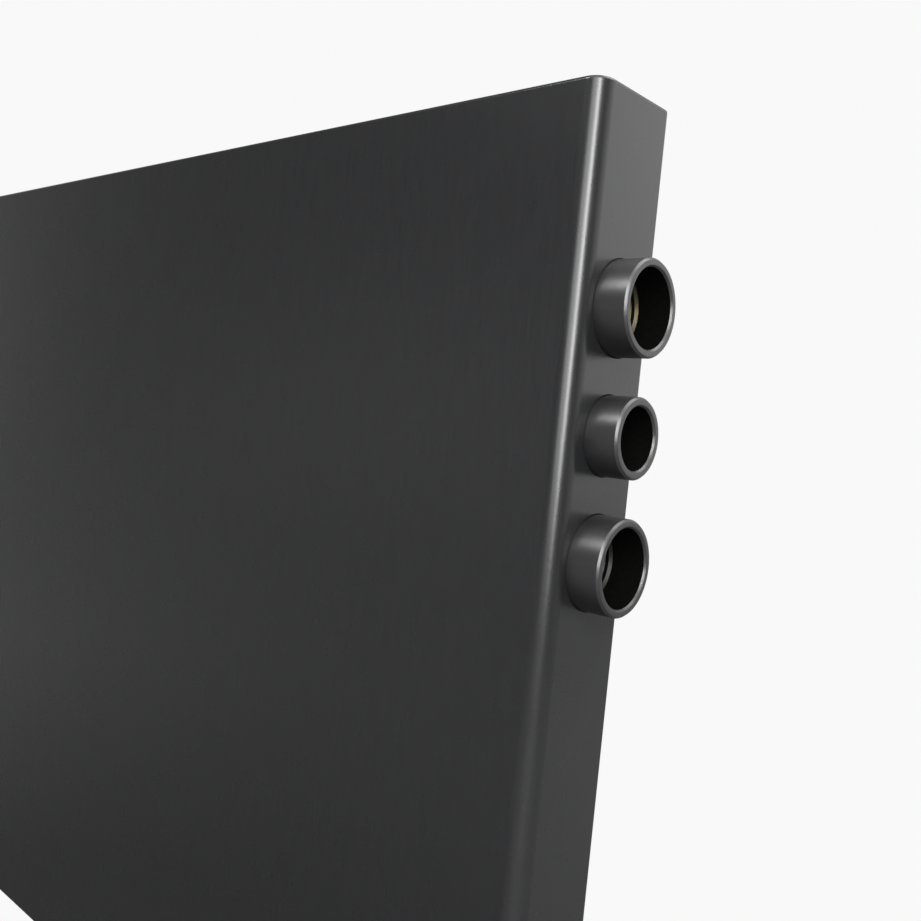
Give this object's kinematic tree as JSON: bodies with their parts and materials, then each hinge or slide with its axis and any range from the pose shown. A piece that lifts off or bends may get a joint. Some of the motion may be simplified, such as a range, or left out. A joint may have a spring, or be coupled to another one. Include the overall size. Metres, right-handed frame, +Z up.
{
  "type": "cased panel radiator",
  "caption": "Wall-hung water radiator in a plain folded steel casing, with open round pipe ports in a row on one narrow side, hung on a rail behind.",
  "frame": {"origin": "centre of the wall rail's back face", "axes": "+Y into the wall, so the plain front faces -Y; +Z up; +X towards the side with the ports"},
  "size_m": [0.7175, 0.093, 0.6013],
  "materials": {
    "anthracite_coat": "satin powder coat, dark anthracite",
    "collar_coat": "satin powder coat over turned steel",
    "primer": "matt dip primer",
    "convector_zinc": "galvanised sheet",
    "steel": "turned steel",
    "brass": "turned brass",
    "seal_fibre": "pressed fibre",
    "zinc_plate": "bright zinc plate",
    "dark_plastic": "moulded nylon",
    "foot_rubber": "matt rubber"
  },
  "bodies": {
    "radiator": {"casing": "anthracite_coat", "casing_screw_lower_left": "zinc_plate", "casing_screw_lower_right": "zinc_plate", "casing_screw_upper_left": "zinc_plate", "casing_screw_upper_right": "zinc_plate", "convector_sheet": "convector_zinc", "drain_plug": "brass", "drain_washer": "seal_fibre", "flat_tube_1": "primer", "flat_tube_2": "primer", "flat_tube_3": "primer", "flat_tube_4": "primer", "flat_tube_5": "primer", "flat_tube_6": "primer", "flat_tube_7": "primer", "flow_boss": "primer", "flow_collar": "collar_coat", "flow_insert": "brass", "flow_seal": "seal_fibre", "hanger_left": "zinc_plate", "hanger_right": "zinc_plate", "header_baffle": "steel", "header_left": "primer", "header_left_bottom_cap": "primer", "header_left_top_cap": "primer", "header_right": "primer", "header_right_bottom_cap": "primer", "header_right_top_cap": "primer", "latch_rivet_left": "steel", "latch_rivet_right": "steel", "lower_cross_bar": "zinc_plate", "rail_pad_left": "dark_plastic", "rail_pad_right": "dark_plastic", "return_boss": "primer", "return_collar": "collar_coat", "return_insert": "steel", "return_seal": "seal_fibre", "service_boss": "primer", "service_collar": "collar_coat", "service_insert": "steel", "service_seal": "seal_fibre", "spacer_bracket_left": "zinc_plate", "spacer_bracket_right": "zinc_plate", "upper_cross_bar": "zinc_plate", "vent_body": "brass", "vent_washer": "seal_fibre", "wall_rail": "zinc_plate"},
    "grille": {"top_grille": "anthracite_coat"},
    "spout": {"vent_spout": "dark_plastic"},
    "bleeder": {"bleed_screw": "brass"},
    "latch_left": {"safety_latch_left": "zinc_plate"},
    "latch_right": {"safety_latch_right": "zinc_plate"},
    "nut_left": {"thumb_nut_left": "dark_plastic"},
    "nut_right": {"thumb_nut_right": "dark_plastic"},
    "foot_left": {"spacer_foot_left": "steel", "foot_pad_left": "foot_rubber"},
    "foot_right": {"spacer_foot_right": "steel", "foot_pad_right": "foot_rubber"}
  },
  "joints": [
    {"name": "grille_lift", "type": "slide", "parent": "radiator", "child": "grille", "axis": [0, 0, 1], "range_m": [0, 0.06]},
    {"name": "spout_swivel", "type": "hinge", "parent": "radiator", "child": "spout", "pos_m": [-0.308, -0.058, 0.0385], "axis": [0, 0, 1], "continuous": true},
    {"name": "bleed_turn", "type": "hinge", "parent": "radiator", "child": "bleeder", "pos_m": [-0.308, -0.058, 0.0393], "axis": [0, 0, 1], "range_deg": [0, 360]},
    {"name": "latch_left_turn", "type": "hinge", "parent": "radiator", "child": "latch_left", "pos_m": [-0.15, -0.024, -0.0218], "axis": [0, 0, 1], "range_deg": [0, 90]},
    {"name": "latch_right_turn", "type": "hinge", "parent": "radiator", "child": "latch_right", "pos_m": [0.15, -0.024, -0.0218], "axis": [0, 0, -1], "range_deg": [0, 90]},
    {"name": "nut_left_turn", "type": "hinge", "parent": "radiator", "child": "nut_left", "pos_m": [-0.2, -0.02375, -0.47], "axis": [0, 1, 0], "range_deg": [-1500, 1500]},
    {"name": "nut_right_turn", "type": "hinge", "parent": "radiator", "child": "nut_right", "pos_m": [0.2, -0.02375, -0.47], "axis": [0, 1, 0], "range_deg": [-1500, 1500]},
    {"name": "foot_left_reach", "type": "slide", "parent": "radiator", "child": "foot_left", "axis": [0, 1, 0], "range_m": [-0.006, 0.006]},
    {"name": "foot_right_reach", "type": "slide", "parent": "radiator", "child": "foot_right", "axis": [0, 1, 0], "range_m": [-0.006, 0.006]}
  ],
  "couplings": [
    {"joint": "nut_left_turn", "follows": "foot_left_reach", "rad_per_m": -4188.8},
    {"joint": "nut_right_turn", "follows": "foot_right_reach", "rad_per_m": -4188.8}
  ]
}
